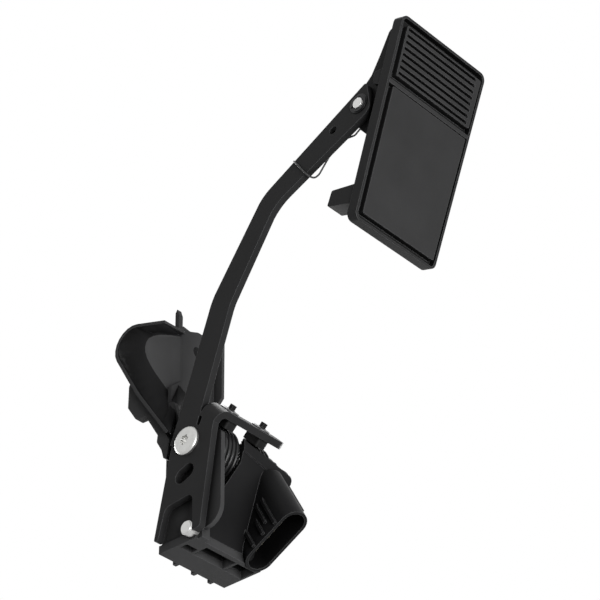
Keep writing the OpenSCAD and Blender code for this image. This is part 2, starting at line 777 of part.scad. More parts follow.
module cover_gasket() {
    color("black") from_pivot() along(cover_x, cover_x + gasket_t) difference() {
        union() {
            chamber_shape();
            screw_lugs(lug_r);
        }
        chamber_shape(chamber_wall);
        screw_lugs(screw_d / 2 + snug);
    }
}

cover_t = 1.8;
module sensor_cover() {
    outer_x = cover_x + gasket_t;
    color([0.13, 0.13, 0.13]) from_pivot() difference() {
        union() {
            along(outer_x, outer_x + cover_t) union() {
                chamber_shape();
                screw_lugs(lug_r);
            }
            rod(outer_x + cover_t - eps, outer_x + cover_t + 1.1, chamber_r - 1);
            rod(outer_x + cover_t + 1, outer_x + cover_t + 2, chamber_r - 2.4);
        }
        for (a = screw_angles) translate([0, screw_r * cos(a), screw_r * sin(a)])
            rod(outer_x - 1, outer_x + cover_t + 5, screw_d / 2 + snug);
    }
}

module cover_screws() {
    head_x = cover_x + gasket_t + cover_t;
    color("silver") from_pivot() for (a = screw_angles) translate([0, screw_r * cos(a), screw_r * sin(a)])
        difference() {
            union() {
                rod(right_cheek_x - 0.5, head_x + eps, screw_d / 2);
                rod(head_x, head_x + 1.8, 2.75);
            }
            along(head_x + 0.9, head_x + 3) key_recess(1.5);
        }
}

// Moves a drawing from the pad's own frame, at its pin and upright, to its lean at rest
module at_pad() {
    translate([0, pad_pivot.x, pad_pivot.y]) rotate([pad_lean, 0, 0]) children();
}

// Front view of the pad, less a margin, and from z0 to z1 only
pad_left = -0.5;
pad_low = pad_above - pad_h;
module pad_shape(less = 0, z0 = -200, z1 = 200) {
    left = pad_left + less;
    low = max(pad_low + less, z0);
    top = min(pad_above - less, z1);
    taper = (pad_w - pad_low_w) / pad_h;
    low_r = z0 > pad_low ? 0.8 : max(4 - less, 1);
    top_r = z1 < pad_above ? 0.8 : max(4 - less, 1);
    polygon(rounded([
        [left, low, low_r], [pad_left + pad_low_w - less + taper * (low - pad_low), low, low_r],
        [pad_left + pad_w - less + taper * (top - pad_above), top, top_r], [left, top, top_r]]));
}

// A front view carried from the depth y0 to y1, where less is nearer to the driver
module pad_layer(y0, y1) {
    translate([0, y1, 0]) rotate([90, 0, 0]) linear_extrude(y1 - y0) children();
}

module pad_carrier() {
    front = -pad_front;
    color([0.15, 0.15, 0.15]) from_pivot() at_pad() difference() {
        union() {
            difference() {
                pad_layer(front, pad_back) pad_shape();
                pad_layer(front - 1, pad_back - tray_t) pad_shape(rim_w);
            }
            // Lug beside the arm, with the boss of the pin
            along(lug_x, lug_x + lug_t) polygon(rounded([
                [pad_back - 0.5, -20.5, 0], [-1, -13, 3], [7.2, -4, 6], [7.6, 7, 6], [0.4, 19, 3],
                [-2.4, 31, 6], [-5, 45, 3], [pad_back - 0.5, pad_above - 1.5, 0]]));
            rod(lug_x, lug_x + 10, 8);
            // Ribs across the back
            for (z = [-45, -22, 0, 24])
                translate([lug_x, pad_back - 0.5, z - 1]) cube([pad_low_w - lug_x - 4, 2.6, 2]);
            // Stop behind the arm's end, and the foot that meets the arm at the end of the tilt
            along(pad_left + 0.3, lug_x + eps) polygon([
                [pad_back - 0.5, 9], [-7.2, 10.5], [-6.2, 14.6], [-6.2, 17.5], [pad_back - 0.5, 19]]);
            along(0, 10.5) polygon(rounded([
                [pad_back - 0.5, -59, 0], [4.8, -58.6, 1], [4.2, -49.6, 1], [pad_back - 0.5, -48, 0]], 3));
        }
        rod(lug_x - 1, lug_x + 9, pin_r);
        at_arm(-10.5, -6) rod(lug_x - 1, lug_x + lug_t + 1, pad_wire_d / 2 + 0.1);
    }
}

// A place s along the arm from the pin and h square to it, in the pad's frame at rest
module at_arm(s, h) {
    p = turned(s * leaned(arm_top_lean) + h * square_to(arm_top_lean), -pad_lean);
    translate([0, p.x, p.y]) children();
}

// Rubber tread: a ribbed panel above a divider and a plain panel below it
divider_z = 11.2;
module pad_tread() {
    base_y = pad_back - tray_t;
    low_y = -pad_front + 1.9;
    groove_gap = 3.4;
    ribbed_low = divider_z + 4.6;
    groove_pitch = 3.67;
    color([0.22, 0.22, 0.22]) from_pivot() at_pad() {
        difference() {
            union() {
                pad_layer(low_y, base_y) pad_shape(rim_w + snug);
                pad_layer(-pad_front - 0.3, low_y + eps) pad_shape(rim_w + groove_gap, ribbed_low);
                pad_layer(-pad_front - 0.1, low_y + eps) pad_shape(rim_w + groove_gap, -200, divider_z - 1.8);
                pad_layer(-pad_front, low_y + eps) pad_shape(rim_w + snug, divider_z - 1.1, divider_z + 1.1);
            }
            for (k = [0 : groove_n - 1])
                pad_layer(-pad_front - 1, low_y + 0.2) translate([0, pad_above - rim_w - groove_gap - 1.3])
                    translate([pad_left + rim_w + groove_gap + 1.2, -1.1 - k * groove_pitch])
                        square([pad_w - 2 * (rim_w + groove_gap) - 5.2, 1.7]);
        }
    }
}

clip_x = -1.9;
module pad_pin() {
    color("silver") from_pivot() at_pad() difference() {
        rod(clip_x - 0.9, lug_x + 9, pin_r);
        difference() {
            rod(clip_x, clip_x + 0.8, pin_r + 1);
            rod(clip_x - 1, clip_x + 2, pin_r - 0.7);
        }
    }
}

module pad_washer() {
    color("gray") from_pivot() at_pad() difference() {
        rod(clip_x + 0.8, -0.35, pin_r + 2.6);
        rod(clip_x, 1, pin_r + snug);
    }
}

// Three-toothed clip in the pin's groove
module pad_retaining_clip() {
    color("silver") from_pivot() at_pad() along(clip_x + snug, clip_x + 0.8 - snug) rotate(40) union() {
        difference() {
            circle(r = pin_r + 2);
            circle(r = pin_r + 0.6);
            polygon([[0, 0], [-4, -9], [4, -9]]);
        }
        for (a = [-38, 90, 218]) rotate(a) difference() {
            translate([pin_r - 0.6, -0.9]) square([1.6, 1.8]);
            circle(r = pin_r - 0.7);
        }
    }
}

// Wire spring from the pad's lug, behind the arm and over its face
module pad_spring() {
    gap = pad_wire_d / 2 + free;
    place = function(x, s, h) let (p = pad_pivot + s * leaned(arm_top_lean) + h * square_to(arm_top_lean))
        [x, p.x, p.y];
    path = [
        place(lug_x + 2, -10.5, -6), place(lug_x + 0.8, -12, -6), place(lug_x + 0.8, -13.8, -5.8),
        place(arm_t + gap + 0.3, -18.4, -3.6), place(arm_t + gap, -30, -5), place(arm_t + gap, -37, -6.6),
        place(arm_t - 0.8, -41.5, -10), place(0.5, -43, -10), place(-gap, -43.6, -8.8),
        place(-gap, -44.6, 6.6), place(0.4, -45, 8), place(arm_t - 0.4, -45, 8.2), place(arm_t + gap, -45, 6.6),
        place(arm_t + gap, -44.6, 3)];
    color("silver") from_pivot() wire(path, pad_wire_d, unit([0.35, 0.1, 1]));
}

mounting_bracket();
left_pivot_bush();
right_pivot_bush();
stop_pin();
sensor_housing();
sensor_cover();
cover_gasket();
circuit_board();
connector_terminals();
cover_screws();
short_return_spring();
long_return_spring();
pedal_arm();
pivot_shaft();
pivot_bolt();
thrust_washer();
sensor_rotor();
rotor_magnet();
left_spring_shoe();
right_spring_shoe();
left_shoe_retainer();
right_shoe_retainer();
pad_carrier();
pad_tread();
pad_pin();
pad_washer();
pad_retaining_clip();
pad_spring();
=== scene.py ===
import json
import math

import bmesh
import bpy
from mathutils import Matrix, Vector


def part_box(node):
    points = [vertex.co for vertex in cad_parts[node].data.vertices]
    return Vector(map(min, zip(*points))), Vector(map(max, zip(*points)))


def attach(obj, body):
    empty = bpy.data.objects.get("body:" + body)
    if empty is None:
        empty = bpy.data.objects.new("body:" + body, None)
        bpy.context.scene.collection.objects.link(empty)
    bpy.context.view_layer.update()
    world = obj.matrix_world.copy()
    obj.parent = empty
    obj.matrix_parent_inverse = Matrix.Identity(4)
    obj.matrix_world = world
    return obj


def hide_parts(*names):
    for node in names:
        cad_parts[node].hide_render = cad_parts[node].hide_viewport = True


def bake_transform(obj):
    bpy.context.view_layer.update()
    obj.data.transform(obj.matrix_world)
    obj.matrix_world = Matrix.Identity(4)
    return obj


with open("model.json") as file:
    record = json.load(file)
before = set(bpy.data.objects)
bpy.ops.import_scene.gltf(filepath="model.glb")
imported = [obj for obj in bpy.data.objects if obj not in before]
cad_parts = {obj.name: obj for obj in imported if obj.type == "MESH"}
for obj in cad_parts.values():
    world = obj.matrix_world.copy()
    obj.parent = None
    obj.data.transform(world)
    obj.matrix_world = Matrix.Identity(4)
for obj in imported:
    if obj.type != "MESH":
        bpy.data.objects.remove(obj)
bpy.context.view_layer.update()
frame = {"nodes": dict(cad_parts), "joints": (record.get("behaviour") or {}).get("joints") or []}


# Camera: low in front of the part and to its left, looking up through a long lens, so that the
# fork, the stop pin and the underside of the pad are all seen.
def into_scene(name, data):
    """A new object of the scene, at the origin, that holds the data."""
    thing = bpy.data.objects.new(name, data)
    bpy.context.scene.collection.objects.link(thing)
    return thing


camera = into_scene("camera", bpy.data.cameras.new("camera"))
camera.data.lens = 150
camera.data.sensor_width = 36
camera.data.clip_start = 0.05
camera.data.clip_end = 30
camera.matrix_world = Matrix((
    (0.66404902, -0.42353873, -0.61616057, -0.78979),
    (-0.74763176, -0.38633156, -0.54018023, -0.77017),
    (-0.00925502, 0.81936736, -0.57319410, -0.73456),
    (0, 0, 0, 1)))
bpy.context.scene.camera = camera
bpy.context.scene.view_settings.view_transform = "Standard"


# Studio: a pale floor far below the hanging part, a white surround that only the camera, the gloss
# and clear things see, and four soft lamps, of which the one low in front lights the side seen here.
floor_reach, floor_drop = 7, 1.9
floor_grey = (0.80, 0.80, 0.80, 1)
floor_white = 0.85
room_light = 0.10
lamp_aim = Vector((0, -0.05, 0))


def from_bmesh(name, mesh):
    """A new object of the scene with the faces of a bmesh, which is freed."""
    thing = into_scene(name, bpy.data.meshes.new(name))
    mesh.to_mesh(thing.data)
    mesh.free()
    return thing


def reckoned(tree, operation, first, second, clamp=False):
    """Puts out what a Math node makes of two things, each a socket or a plain number."""
    node = tree.nodes.new("ShaderNodeMath")
    node.operation = operation
    node.use_clamp = clamp
    for socket, given in zip(node.inputs, (first, second)):
        if isinstance(given, bpy.types.NodeSocket):
            tree.links.new(given, socket)
        else:
            socket.default_value = given
    return node.outputs[0]


def shown_apart(tree, output, share, lit, white):
    """Mixes what lights the part with the plain white that is seen, and puts that out."""
    mix = tree.nodes.new("ShaderNodeMixShader")
    tree.links.new(share, mix.inputs[0])
    tree.links.new(lit.outputs[0], mix.inputs[1])
    tree.links.new(white.outputs[0], mix.inputs[2])
    tree.links.new(mix.outputs[0], tree.nodes.new(output).inputs["Surface"])


floor_mesh = bmesh.new()
bmesh.ops.create_grid(floor_mesh, x_segments=1, y_segments=1, size=floor_reach)
bmesh.ops.translate(floor_mesh, verts=floor_mesh.verts, vec=(0, 0, -floor_drop))
floor = from_bmesh("studio_floor", floor_mesh)

floor_paint = bpy.data.materials.new("studio_floor_paint")
floor_paint.use_nodes = True
tree = floor_paint.node_tree
tree.nodes.clear()
rays = tree.nodes.new("ShaderNodeLightPath").outputs
seen = reckoned(tree, "MAXIMUM", rays["Is Camera Ray"], rays["Is Glossy Ray"])
matt = tree.nodes.new("ShaderNodeBsdfDiffuse")
matt.inputs["Color"].default_value = floor_grey
glow = tree.nodes.new("ShaderNodeEmission")
glow.inputs["Strength"].default_value = 1
shown_apart(tree, "ShaderNodeOutputMaterial", reckoned(tree, "MULTIPLY", seen, floor_white), matt, glow)
floor.data.materials.append(floor_paint)

world = bpy.data.worlds.new("studio_surround")
bpy.context.scene.world = world
world.use_nodes = True
tree = world.node_tree
tree.nodes.clear()
rays = tree.nodes.new("ShaderNodeLightPath").outputs
seen = reckoned(tree, "MAXIMUM", rays["Is Camera Ray"], rays["Is Glossy Ray"])
ambient = tree.nodes.new("ShaderNodeBackground")
ambient.inputs["Color"].default_value = (1, 1, 1, 1)
ambient.inputs["Strength"].default_value = room_light
white = tree.nodes.new("ShaderNodeBackground")
white.inputs["Color"].default_value = (1, 1, 1, 1)
white.inputs["Strength"].default_value = 1
shown_apart(tree, "ShaderNodeOutputWorld", reckoned(tree, "MAXIMUM", seen, rays["Is Transmission Ray"]),
            ambient, white)


def soft_lamp(name, place, width, watts):
    """A square soft box that faces the middle of the part."""
    lamp = into_scene(name, bpy.data.lights.new(name, "AREA"))
    lamp.data.shape = "SQUARE"
    lamp.data.size = width
    lamp.data.energy = watts
    lamp.visible_camera = False
    lamp.location = place
    lamp.rotation_mode = "QUATERNION"
    lamp.rotation_quaternion = (Vector(place) - lamp_aim).to_track_quat("Z", "Y")


soft_lamp("low_front_softbox", place=(-0.45, -1.36, -0.64), width=0.8, watts=24)
soft_lamp("rear_softbox", place=(0.5, 1.6, 0.5), width=0.9, watts=34)
soft_lamp("right_softbox", place=(1.7, 0.1, 0.3), width=0.9, watts=24)
soft_lamp("high_softbox", place=(0.5, 0.5, 1.5), width=0.7, watts=9)


# Mounting bracket: one moulding of black glass-filled plastic, with the side pan, both cheeks, the
# back wall, the foot and the locating pegs. It is screwed to the bulkhead through its one hole.
number, direction = "NodeSocketFloat", "NodeSocketVector"


def effect_group(name, inputs, outputs):
    """A node group with named sockets: the group, what it is given and what it puts out."""
    group = bpy.data.node_groups.new(name, "ShaderNodeTree")
    for in_out, sockets in (("INPUT", inputs), ("OUTPUT", outputs)):
        for title, kind in sockets.items():
            group.interface.new_socket(title, in_out=in_out, socket_type=kind)
    return group, group.nodes.new("NodeGroupInput").outputs, group.nodes.new("NodeGroupOutput").inputs


def edge_group():
    """Finds the edges of a piece and rounds them in the shading, so that each catches the light."""
    group, given, result = effect_group("caught_edges", {"Radius": number, "Gain": number},
                                        {"Edge": number, "Normal": direction})
    link = group.links.new
    rounded = group.nodes.new("ShaderNodeBevel")
    rounded.samples = 6
    surface = group.nodes.new("ShaderNodeNewGeometry")
    facing = group.nodes.new("ShaderNodeVectorMath")
    facing.operation = "DOT_PRODUCT"
    link(given["Radius"], rounded.inputs["Radius"])
    link(rounded.outputs["Normal"], facing.inputs[0])
    link(surface.outputs["Normal"], facing.inputs[1])
    turned = reckoned(group, "SUBTRACT", 1, facing.outputs["Value"])
    link(reckoned(group, "MULTIPLY", turned, given["Gain"], clamp=True), result["Edge"])
    link(rounded.outputs["Normal"], result["Normal"])
    return group


def grain_group():
    """Fine grain and broad unevenness of a moulded or coated skin, each of a size in metres."""
    group, given, result = effect_group("skin_grain", {"Grain Size": number, "Patch Size": number},
                                        {"Height": number, "Patch": number})
    place = group.nodes.new("ShaderNodeTexCoord")
    for size, wanted, detail, roughness in (("Grain Size", "Height", 2.0, 0.6),
                                            ("Patch Size", "Patch", 4.0, 0.5)):
        noise = group.nodes.new("ShaderNodeTexNoise")
        noise.inputs["Detail"].default_value = detail
        noise.inputs["Roughness"].default_value = roughness
        group.links.new(place.outputs["Object"], noise.inputs["Vector"])
        group.links.new(reckoned(group, "DIVIDE", 1, given[size]), noise.inputs["Scale"])
        group.links.new(noise.outputs["Fac"], result[wanted])
    return group


def recess_group():
    """How open each place is: 1 on a free face, less in grooves and corners, where the skin is painted
    darker as shade.
    """
    group, given, result = effect_group("painted_recess_shade", {"Reach": number}, {"Open": number})
    sheltered = group.nodes.new("ShaderNodeAmbientOcclusion")
    sheltered.samples = 8
    span = group.nodes.new("ShaderNodeMapRange")
    span.inputs["From Min"].default_value = 0.35
    span.inputs["From Max"].default_value = 0.95
    group.links.new(given["Reach"], sheltered.inputs["Distance"])
    group.links.new(sheltered.outputs["AO"], span.inputs["Value"])
    group.links.new(span.outputs["Result"], result["Open"])
    return group


caught_edges = edge_group()
painted_recess_shade = recess_group()
skin_grain = grain_group()


def effect(material, group, **settings):
    """Places a node group in a material; grain_size=... sets its socket Grain Size, and so on."""
    node = material.node_tree.nodes.new("ShaderNodeGroup")
    node.node_tree = group
    for setting, value in settings.items():
        node.inputs[setting.replace("_", " ").title()].default_value = value
    return node


def toned(material, patches, low, high):
    """Lets the base colour wander between two tones from patch to patch."""
    ramp = material.node_tree.nodes.new("ShaderNodeValToRGB")
    for element, position, tone in zip(ramp.color_ramp.elements, (0.3, 0.7), (low, high)):
        element.position = position
        element.color = (*tone, 1)
    material.node_tree.links.new(patches, ramp.inputs["Fac"])
    return ramp.outputs["Color"]


def overlaid(material, share, under, over):
    """Lays one colour over another where the share is 1; each is a socket or a plain colour."""
    mix = material.node_tree.nodes.new("ShaderNodeMix")
    mix.data_type = "RGBA"
    material.node_tree.links.new(share, mix.inputs["Factor"])
    for socket, given in (("A", under), ("B", over)):
        if isinstance(given, bpy.types.NodeSocket):
            material.node_tree.links.new(given, mix.inputs[socket])
        else:
            mix.inputs[socket].default_value = (*given, 1)
    return mix.outputs["Result"]


def finished(material, patches, span, dull, strength, depth, height, edges):
    """Gives the shader its uneven roughness, and its fine relief over the rounded edges."""
    nodes, link = material.node_tree.nodes, material.node_tree.links.new
    polish = nodes.new("ShaderNodeMapRange")
    for socket, value in zip(("From Min", "From Max", "To Min", "To Max"), span + dull):
        polish.inputs[socket].default_value = value
    bump = nodes.new("ShaderNodeBump")
    bump.inputs["Strength"].default_value = strength
    bump.inputs["Distance"].default_value = depth
    link(patches, polish.inputs["Value"])
    link(polish.outputs["Result"], nodes["Principled BSDF"].inputs["Roughness"])
    link(height, bump.inputs["Height"])
    link(edges.outputs["Normal"], bump.inputs["Normal"])
    link(bump.outputs["Normal"], nodes["Principled BSDF"].inputs["Normal"])


def skin(name, colour, edge_wear_and_highlight, dull, grain, depth, patch=0.03, edge=0.0006, spec=0.25, metallic=0.0,
         spread=0.12, reach=0.006):
    """A finish whose colour, gloss and grain vary over the piece, whose edges are painted paler, partly
    as wear and partly as a painted highlight, and whose sheltered places are painted darker as shade.

    Grain and patch are the sizes of its unevenness, depth is that of the grain, edge is how far the
    paler edge goes, and reach is how near another face must come to paint shade on a place, all in
    metres.
    """
    recess_shade_tone, edge_gain = 0.25, 3.0    # tone of the painted shade in sheltered places against the skin's, and how soon an edge turns pale
    material = bpy.data.materials.new(name)
    material.use_nodes = True
    shader = material.node_tree.nodes["Principled BSDF"]
    shader.inputs["Specular IOR Level"].default_value = spec
    shader.inputs["Metallic"].default_value = metallic
    edges = effect(material, caught_edges, radius=edge, gain=edge_gain)
    texture = effect(material, skin_grain, grain_size=grain, patch_size=patch)
    shelter = effect(material, painted_recess_shade, reach=reach)
    tones = toned(material, texture.outputs["Patch"], [c * (1 - spread) for c in colour],
                  [c * (1 + spread) for c in colour])
    # Painted shade: places that other faces shelter are darkened towards the shade tone.
    recess_shaded = overlaid(material, shelter.outputs["Open"], [c * recess_shade_tone for c in colour], tones)
    # The edges are laid over in a paler colour: partly edge wear, partly a painted highlight.
    edged_colour = overlaid(material, edges.outputs["Edge"], recess_shaded, edge_wear_and_highlight)
    material.node_tree.links.new(edged_colour, shader.inputs["Base Color"])
    finished(material, texture.outputs["Patch"], (0.25, 0.75), (dull - 0.05, dull + 0.05), 0.5, depth,
             texture.outputs["Height"], edges)
    return material


same_point = 2e-6
same_plane = math.radians(0.5)
creased = math.radians(28)
bevelled = math.radians(35)


def dressed(node, body, material, name, edge=0.0):
    """A smooth-shaded copy of a CAD piece with its doubled points merged and its edges rounded."""
    piece = into_scene(name, frame["nodes"][node].data.copy())
    mesh = bmesh.new()
    mesh.from_mesh(piece.data)
    bmesh.ops.remove_doubles(mesh, verts=mesh.verts, dist=same_point)
    bmesh.ops.dissolve_limit(mesh, angle_limit=same_plane, use_dissolve_boundaries=False,
                             verts=mesh.verts, edges=mesh.edges, delimit=set())
    mesh.to_mesh(piece.data)
    mesh.free()
    if "custom_normal" in piece.data.attributes:
        piece.data.attributes.remove(piece.data.attributes["custom_normal"])
    piece.data.shade_smooth()
    piece.data.set_sharp_from_angle(angle=creased)
    if edge:
        rounding = piece.modifiers.new("rounded_edges", "BEVEL")
        rounding.width = edge
        rounding.segments = 2
        rounding.limit_method = "ANGLE"
        rounding.angle_limit = bevelled
        rounding.harden_normals = True
    piece.data.materials.clear()
    piece.data.materials.append(material)
    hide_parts(node)
    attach(piece, body)
    return piece


bracket_skin = skin("bracket_skin", (0.058, 0.058, 0.059), edge_wear_and_highlight=(0.085, 0.085, 0.088), dull=0.55,
                    grain=0.0008, depth=0.00006, spec=0.05)
dressed("mounting_bracket", "bracket", bracket_skin, "bracket_moulding")

# The bowl's inner skin runs from the pan's rim to a floor that leans back to the plate at 45 degrees,
# with a soft fillet between them. A row is y and z on the rim, then x and z on the floor's edge, all
# from the pivot.
pivot = Vector(frame["joints"][0]["pos_m"])
bowl_rim_x, bowl_floor_reach = -0.0009, 0.0350
bowl_rows = (
    (0.0178, 0.0792, 0.0151, 0.0802), (0.0250, 0.0816, 0.0104, 0.0810), (0.0315, 0.0838, 0.0070, 0.0810),
    (0.0385, 0.0861, 0.0044, 0.0802), (0.0445, 0.0863, 0.0026, 0.0786), (0.0493, 0.0833, 0.0016, 0.0762),
    (0.0518, 0.0784, 0.0012, 0.0730), (0.0513, 0.0730, 0.0014, 0.0696), (0.0479, 0.0670, 0.0022, 0.0658),
    (0.0439, 0.0599, 0.0034, 0.0620), (0.0398, 0.0529, 0.0048, 0.0582), (0.0353, 0.0457, 0.0066, 0.0540),
    (0.0297, 0.0367, 0.0086, 0.0494), (0.0228, 0.0262, 0.0106, 0.0450), (0.0169, 0.0174, 0.0126, 0.0414),
    (0.0118, 0.0096, 0.0151, 0.0470))
bowl_fillet = 0.0022
moulded_wall = 0.0006
gusset_corners = ((-0.0009, 0.0110, 0.0084), (-0.0009, 0.0169, 0.0174), (0.0086, 0.0196, 0.0382),
                  (0.0130, 0.0197, 0.0484), (0.0179, 0.0194, 0.0454))
# Painted light and shade: one bracket plastic in two copies, the wall painted dark as shade and the
# floor painted pale as light.
bowl_wall_painted_shade = skin("bowl_wall_painted_shade", (0.018, 0.018, 0.0185), edge_wear_and_highlight=(0.05, 0.05, 0.052), dull=0.6,
                      grain=0.0008, depth=0.00008, spec=0.04)
bowl_floor_painted_light = skin("bowl_floor_painted_light", (0.072, 0.072, 0.073), edge_wear_and_highlight=(0.08, 0.08, 0.082), dull=0.55,
                       grain=0.0008, depth=0.00005, spec=0.05, reach=0.001)


def chain(mesh, places):
    """New points at the places, and the edges from each to the next."""
    points = [mesh.verts.new(place) for place in places]
    return points, [mesh.edges.new(pair) for pair in zip(points, points[1:])]


def moulded_onto_bracket(piece, *skins):
    """Finishes a thin skin of the bracket: its materials, its wall and its body."""
    for material in skins:
        piece.data.materials.append(material)
    wall = piece.modifiers.new("moulded_wall", "SOLIDIFY")
    wall.thickness = moulded_wall
    wall.offset = -1
    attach(piece, "bracket")


bowl = bmesh.new()
_, rim_edges = chain(bowl, [pivot + Vector((bowl_rim_x, y, z)) for y, z, _, _ in bowl_rows])
floor_points, floor_edges = chain(
    bowl, [pivot + Vector((x, bowl_floor_reach - x, z)) for _, _, x, z in bowl_rows])
bmesh.ops.bridge_loops(bowl, edges=rim_edges + floor_edges)
bowl_floor = bmesh.ops.contextual_create(bowl, geom=floor_points)["faces"][0]
bmesh.ops.recalc_face_normals(bowl, faces=bowl.faces)
if bowl_floor.normal.x > 0:
    bmesh.ops.reverse_faces(bowl, faces=bowl.faces)
bowl_floor.material_index = 1
bmesh.ops.bevel(bowl, geom=floor_edges, affect="EDGES", offset=bowl_fillet, segments=6, profile=0.5,
                material=-1, clamp_overlap=True)

# A gusset closes the narrow end of the bowl in front of the back wall; it is painted in the wall's dark
# colour, as shade.
corners = [bowl.verts.new(pivot + Vector(place)) for place in gusset_corners]
for second, third in zip(corners[1:], corners[2:]):
    gusset = bmesh.ops.contextual_create(bowl, geom=[corners[0], second, third])["faces"]
    if gusset[0].normal.y > 0:
        bmesh.ops.reverse_faces(bowl, faces=gusset)
liner = from_bmesh("bracket_bowl", bowl)
liner.data.shade_smooth()
liner.data.set_sharp_from_angle(angle=math.radians(40))
moulded_onto_bracket(liner, bowl_wall_painted_shade, bowl_floor_painted_light)

# The two wide pockets of the foot are blind: each ends in a web above the foot plate. Their spans,
# too, are from the pivot.
pocket_spans = ((0.0156, 0.0366), (0.0380, 0.0504))
pocket_front, pocket_rear = 0.0006, 0.0100
pocket_mouth, pocket_roof = -0.0496, -0.0420
webs = bmesh.new()
for left, right in pocket_spans:
    near, far = Vector((left, pocket_front, pocket_mouth)), Vector((right, pocket_rear, pocket_roof))
    shell = bmesh.ops.create_cube(webs, size=1)["verts"]
    bmesh.ops.scale(webs, verts=shell, vec=far - near)
    bmesh.ops.translate(webs, verts=shell, vec=pivot + (near + far) / 2)
mouths = [face for face in webs.faces if face.normal.z < -0.5]
bmesh.ops.delete(webs, geom=mouths, context="FACES_ONLY")
bmesh.ops.reverse_faces(webs, faces=webs.faces)
# The pockets' webs and walls are painted in the bowl wall's dark colour, as shade.
moulded_onto_bracket(from_bmesh("foot_pockets", webs), bowl_wall_painted_shade)


# Pivot bushes: two flanged sleeves of pale plain-bearing plastic, pressed into the bracket's cheeks
# from the inside. Only their rims show.
bush_skin = skin("bearing_plastic", (0.55, 0.53, 0.46), edge_wear_and_highlight=(0.70, 0.68, 0.60), dull=0.42,
                 grain=0.0009, depth=0.00003, spec=0.4)
dressed("left_pivot_bush", "bracket", bush_skin, "left_bush", edge=0.0003)
dressed("right_pivot_bush", "bracket", bush_skin, "right_bush", edge=0.0003)


# Stop pin: a turned and zinc-plated pin pressed into the bracket's foot, between the legs of the
# lever's fork, which ends the lever's travel both ways.
def turned_group():
    """Fine rings of a lathe tool round an axle along x, as height."""
    group, given, result = effect_group("lathe_rings", {"Centre": direction, "Ring": number},
                                        {"Height": number})
    link = group.links.new
    place = group.nodes.new("ShaderNodeTexCoord")
    from_centre = group.nodes.new("ShaderNodeVectorMath")
    from_centre.operation = "SUBTRACT"
    across = group.nodes.new("ShaderNodeVectorMath")
    across.operation = "MULTIPLY"
    across.inputs[1].default_value = (0, 1, 1)
    radius = group.nodes.new("ShaderNodeVectorMath")
    radius.operation = "LENGTH"
    noise = group.nodes.new("ShaderNodeTexNoise")
    noise.noise_dimensions = "1D"
    noise.inputs["Scale"].default_value = 1
    noise.inputs["Detail"].default_value = 3
    link(place.outputs["Object"], from_centre.inputs[0])
    link(given["Centre"], from_centre.inputs[1])
    link(from_centre.outputs["Vector"], across.inputs[0])
    link(across.outputs["Vector"], radius.inputs[0])
    link(reckoned(group, "DIVIDE", radius.outputs["Value"], given["Ring"]), noise.inputs["W"])
    link(noise.outputs["Fac"], result["Height"])
    return group


lathe_rings = turned_group()


def turned_metal(name, colour, dull, centre, ring=0.00035):
    """Bare or plated metal with rings of the lathe round the axle through centre and duller patches."""
    shade = 0.86    # of the duller patches
    material = bpy.data.materials.new(name)
    material.use_nodes = True
    shader = material.node_tree.nodes["Principled BSDF"]
    shader.inputs["Metallic"].default_value = 1.0
    edges = effect(material, caught_edges, radius=0.0003, gain=2.0)
    texture = effect(material, skin_grain, grain_size=0.0005, patch_size=0.004)
    turning = effect(material, lathe_rings, centre=centre, ring=ring)
    tones = toned(material, texture.outputs["Patch"], [c * shade for c in colour], colour)
    material.node_tree.links.new(tones, shader.inputs["Base Color"])
    finished(material, texture.outputs["Patch"], (0.3, 0.7), (dull - 0.06, dull + 0.08), 0.35, 0.00003,
             turning.outputs["Height"], edges)
    return material


def middle(node):
    """The centre of a node's box."""
    low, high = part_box(node)
    return (low + high) / 2


pin_metal = turned_metal("zinc_pin", (0.62, 0.62, 0.61), dull=0.38, centre=middle("stop_pin"))
dressed("stop_pin", "bracket", pin_metal, "stop_pin_turned", edge=0.0004)


# Sensor housing: a moulding of smoother black plastic with the drum in front of the springs, the
# sensor chamber on the right and the connector shroud that slants down, keyed on its left side.
# Its wide reach paints shade far into the drum that lies nested between the cheeks.
housing_skin = skin("housing_skin", (0.015, 0.015, 0.0155), edge_wear_and_highlight=(0.09, 0.09, 0.092), dull=0.45,
                    grain=0.0006, depth=0.00004, spec=0.04, reach=0.02)
dressed("sensor_housing", "bracket", housing_skin, "housing_moulding")

# The terminals are stamped and tinned blades, moulded through the floor of the shroud.
blade_tin = skin("tinned_brass", (0.60, 0.55, 0.42), edge_wear_and_highlight=(0.75, 0.72, 0.62), dull=0.35,
                 grain=0.0004, depth=0.00002, spec=0.5, metallic=1.0)
dressed("connector_terminals", "bracket", blade_tin, "terminal_blades")


# Sensor cover with its gasket, board and screws: a moulded lid over the chamber, which three
# thread-forming screws pull down onto a rubber frame. The board behind it reads the magnet.
dressed("sensor_cover", "bracket", housing_skin, "cover_moulding", edge=0.0004)
gasket_rubber = skin("gasket_rubber", (0.016, 0.016, 0.016), edge_wear_and_highlight=(0.03, 0.03, 0.03), dull=0.72,
                     grain=0.0007, depth=0.00003)
dressed("cover_gasket", "bracket", gasket_rubber, "cover_seal")
board_lacquer = skin("board_lacquer", (0.012, 0.075, 0.035), edge_wear_and_highlight=(0.20, 0.22, 0.12), dull=0.28,
                     grain=0.0004, depth=0.00001, spec=0.5, spread=0.25)
dressed("circuit_board", "bracket", board_lacquer, "sensor_board")
screw_metal = turned_metal("zinc_screw", (0.60, 0.60, 0.58), dull=0.36, centre=middle("sensor_cover"))
dressed("cover_screws", "bracket", screw_metal, "cover_screws_turned")


